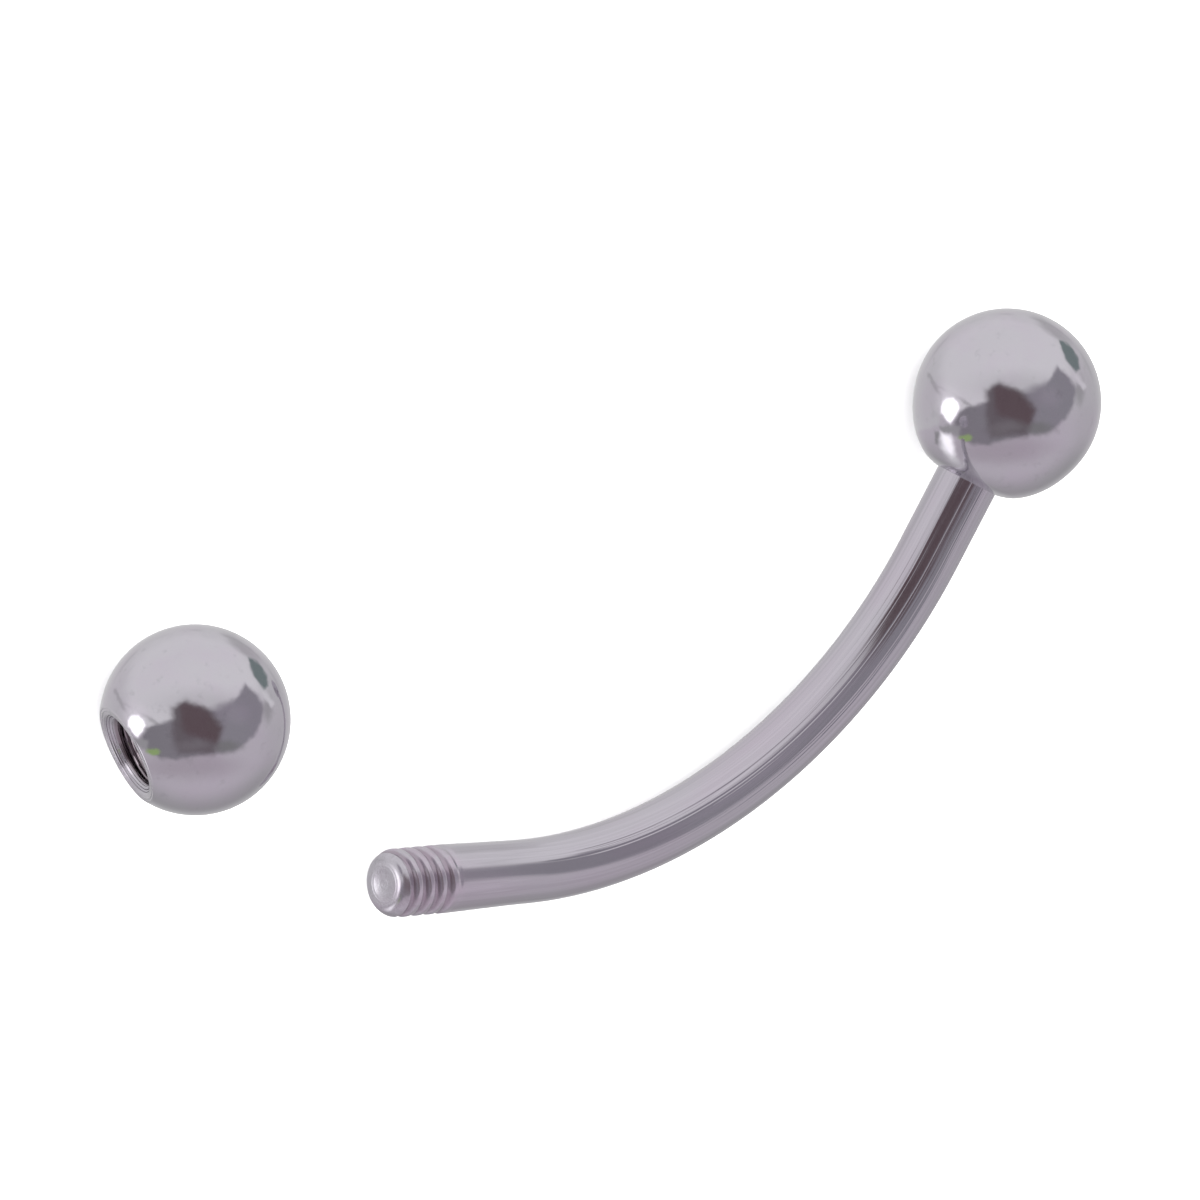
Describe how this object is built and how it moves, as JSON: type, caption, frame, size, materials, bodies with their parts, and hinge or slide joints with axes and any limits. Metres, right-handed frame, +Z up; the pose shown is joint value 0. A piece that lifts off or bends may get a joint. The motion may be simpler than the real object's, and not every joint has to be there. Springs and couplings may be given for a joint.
{
  "type": "curved eyebrow barbell",
  "caption": "Bent steel wire with a ball fixed at one end and a threaded free end, its screw-on ball lying beside it with the threaded hole showing.",
  "frame": {"origin": "on the surface that it lies on, under the middle of the whole", "axes": "+X from the end ball towards the bar's free end, +Z up"},
  "size_m": [0.0188, 0.0098, 0.003],
  "materials": {
    "bar_steel": "polished steel wire with fine lengthwise draw lines",
    "ball_steel": "mirror polished steel with faint smudges"
  },
  "bodies": {
    "root": {"curved_bar": "bar_steel", "end_ball": "ball_steel", "screw_ball": "ball_steel"}
  },
  "joints": []
}
